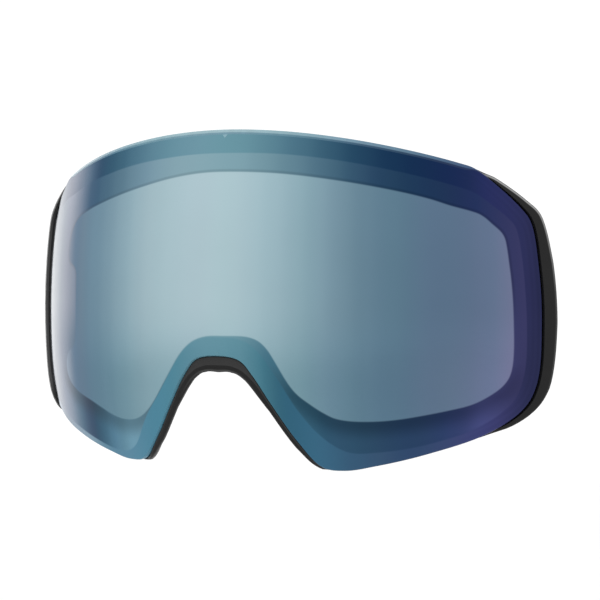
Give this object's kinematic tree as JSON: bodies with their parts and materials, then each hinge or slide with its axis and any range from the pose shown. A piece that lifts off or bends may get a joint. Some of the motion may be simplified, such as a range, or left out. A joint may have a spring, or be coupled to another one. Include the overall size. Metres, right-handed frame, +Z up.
{
  "type": "ski goggles",
  "caption": "Ski goggles: toric mirrored lens on a thin black magnetic carrier, vented face frame with layered foam, side release levers and swinging strap clips, no strap.",
  "frame": {"origin": "bottom of the goggles, in the middle of the box from side to side and from front to back", "axes": "+X towards the wearer's left, -Y the way the wearer looks, +Z up"},
  "size_m": [0.1928, 0.084, 0.1055],
  "materials": {
    "mirrored_lens": "blue mirror over a tinted lens, cooler to violet towards the sides",
    "clear_lens": "clear, slightly green",
    "carrier_black": "fine satin black",
    "gasket_foam": "closed cell foam, black",
    "breather_white": "porous white",
    "nickel": "nickel plate",
    "skirt_rubber": "soft matte black",
    "frame_black": "satin black",
    "fleece": "brushed black fleece",
    "face_foam": "open cell foam, charcoal",
    "vent_foam": "coarse open foam, black",
    "steel": "bright steel",
    "lever_black": "semi gloss black",
    "clip_black": "satin black"
  },
  "bodies": {
    "frame": {"frame_chassis": "frame_black", "face_skirt": "skirt_rubber", "frame_magnet_top_left": "nickel", "frame_magnet_top_right": "nickel", "frame_magnet_bottom_left": "nickel", "frame_magnet_bottom_right": "nickel", "vent_foam_top": "vent_foam", "vent_foam_bottom_left": "vent_foam", "vent_foam_bottom_right": "vent_foam", "face_foam_base": "face_foam", "face_foam_middle": "face_foam", "face_foam_fleece": "fleece", "side_bracket_left": "frame_black", "lever_pin_left": "steel", "lever_spring_left": "steel", "strap_clip_pin_left": "steel", "side_bracket_right": "frame_black", "lever_pin_right": "steel", "lever_spring_right": "steel", "strap_clip_pin_right": "steel"},
    "lens_unit": {"outer_lens": "mirrored_lens", "inner_lens": "clear_lens", "spacer_gasket": "gasket_foam", "breather_plug": "breather_white", "lens_carrier": "carrier_black", "lens_catch_left": "carrier_black", "lens_catch_right": "carrier_black", "lens_magnet_top_left": "nickel", "lens_magnet_top_right": "nickel", "lens_magnet_bottom_left": "nickel", "lens_magnet_bottom_right": "nickel"},
    "lever_left": {"release_lever_left": "lever_black"},
    "lever_right": {"release_lever_right": "lever_black"},
    "clip_left": {"strap_clip_left": "clip_black"},
    "clip_right": {"strap_clip_right": "clip_black"}
  },
  "joints": [
    {"name": "lens_pull", "type": "slide", "parent": "frame", "child": "lens_unit", "axis": [0, -1, 0], "range_m": [0, 0.07]},
    {"name": "lever_left_press", "type": "hinge", "parent": "frame", "child": "lever_left", "pos_m": [0.0836, 0.01446, 0.04708], "axis": [0, 0, -1], "range_deg": [0, 20], "stiffness_Nm_per_rad": 0.02, "springref_deg": -11.46},
    {"name": "clip_left_swing", "type": "hinge", "parent": "frame", "child": "clip_left", "pos_m": [0.0775, 0.02276, 0.04708], "axis": [0, 0, -1], "range_deg": [-15, 55]},
    {"name": "lever_right_press", "type": "hinge", "parent": "frame", "child": "lever_right", "pos_m": [-0.0836, 0.01446, 0.04708], "axis": [0, 0, 1], "range_deg": [0, 20], "stiffness_Nm_per_rad": 0.02, "springref_deg": -11.46},
    {"name": "clip_right_swing", "type": "hinge", "parent": "frame", "child": "clip_right", "pos_m": [-0.0775, 0.02276, 0.04708], "axis": [0, 0, 1], "range_deg": [-15, 55]}
  ]
}
